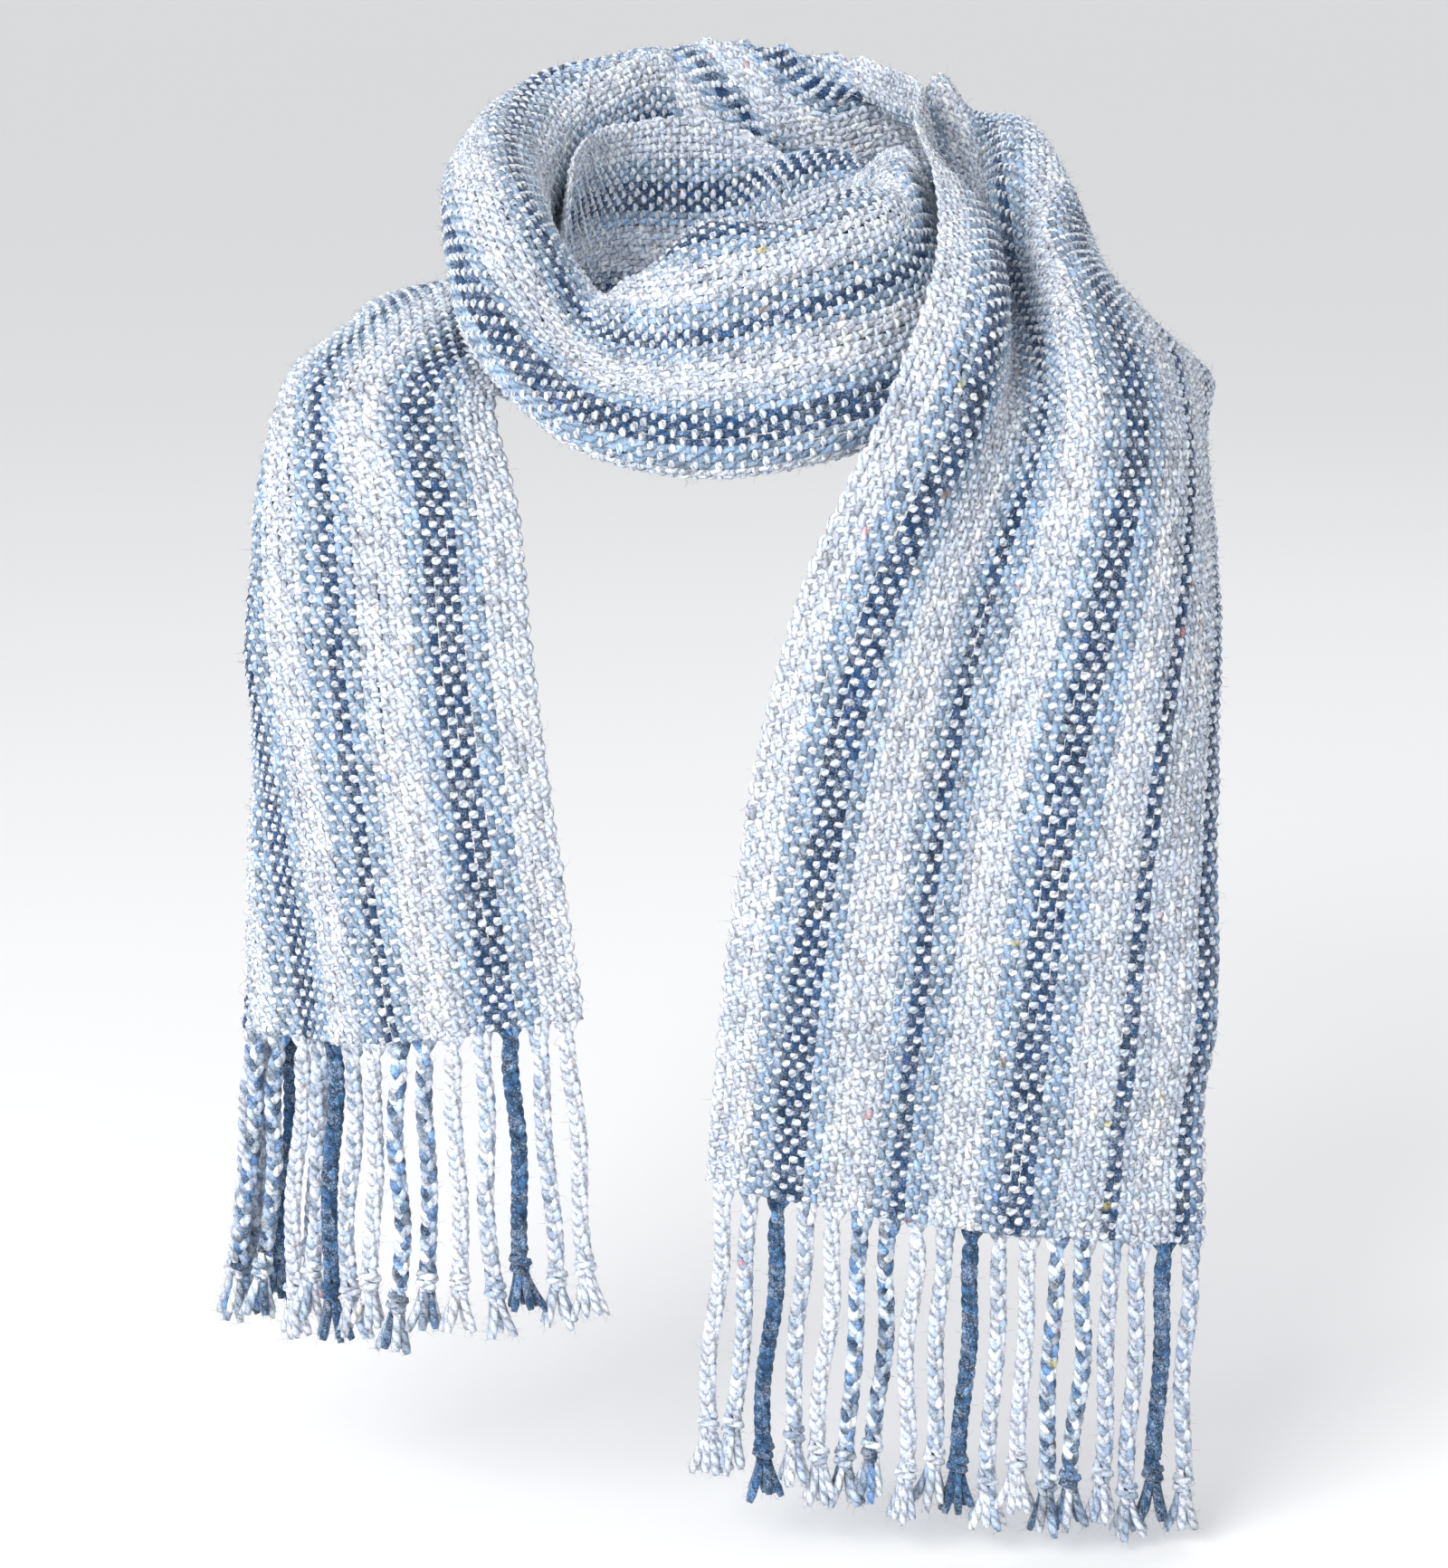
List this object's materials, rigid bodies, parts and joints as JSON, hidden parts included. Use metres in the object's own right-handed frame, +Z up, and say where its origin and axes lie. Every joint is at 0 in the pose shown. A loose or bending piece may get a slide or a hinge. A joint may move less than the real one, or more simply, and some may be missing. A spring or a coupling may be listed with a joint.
{
  "type": "hand-woven scarf",
  "caption": "Striped hand-woven wool scarf with a braided, knotted fringe at both ends, wrapped once round the neck with its two tails hanging in front.",
  "frame": {"origin": "on the axis of the neck opening, at the height of the middle of the wrap", "axes": "+Z up, -Y is the front of the wearer, +X is the viewer's right"},
  "size_m": [0.4059, 0.3034, 0.588],
  "materials": {
    "striped_wool": "matte heathered wool",
    "white_braid": "matte heathered wool",
    "sky_braid": "matte heathered wool",
    "blue_braid": "matte heathered wool",
    "navy_braid": "matte heathered wool",
    "grey_braid": "matte heathered wool"
  },
  "bodies": {
    "wrap": {"left_shoulder_cloth": "striped_wool", "inner_back_cloth": "striped_wool", "front_loop_cloth": "striped_wool", "outer_back_cloth": "striped_wool", "right_shoulder_cloth": "striped_wool"},
    "left_tail": {"left_tail_cloth": "striped_wool", "left_fringe_01": "white_braid", "left_fringe_02": "sky_braid", "left_fringe_03": "navy_braid", "left_fringe_04": "sky_braid", "left_fringe_05": "white_braid", "left_fringe_06": "blue_braid", "left_fringe_07": "blue_braid", "left_fringe_08": "white_braid", "left_fringe_09": "sky_braid", "left_fringe_10": "navy_braid", "left_fringe_11": "sky_braid", "left_fringe_12": "white_braid", "left_fringe_13": "blue_braid", "left_fringe_14": "navy_braid", "left_fringe_15": "grey_braid", "left_fringe_16": "grey_braid", "left_fringe_17": "navy_braid", "left_fringe_18": "grey_braid"},
    "right_tail": {"right_tail_cloth": "striped_wool", "right_fringe_01": "white_braid", "right_fringe_02": "sky_braid", "right_fringe_03": "navy_braid", "right_fringe_04": "sky_braid", "right_fringe_05": "white_braid", "right_fringe_06": "blue_braid", "right_fringe_07": "blue_braid", "right_fringe_08": "white_braid", "right_fringe_09": "sky_braid", "right_fringe_10": "navy_braid", "right_fringe_11": "sky_braid", "right_fringe_12": "white_braid", "right_fringe_13": "blue_braid", "right_fringe_14": "navy_braid", "right_fringe_15": "grey_braid", "right_fringe_16": "grey_braid", "right_fringe_17": "navy_braid", "right_fringe_18": "grey_braid"}
  },
  "joints": [
    {"name": "left_tail_swing", "type": "hinge", "parent": "wrap", "child": "left_tail", "pos_m": [-0.12, -0.143, -0.089], "axis": [-1, 0, 0], "range_deg": [0, 45]},
    {"name": "right_tail_swing", "type": "hinge", "parent": "wrap", "child": "right_tail", "pos_m": [0.12, -0.161, -0.049], "axis": [-1, 0, 0], "range_deg": [0, 45]}
  ]
}
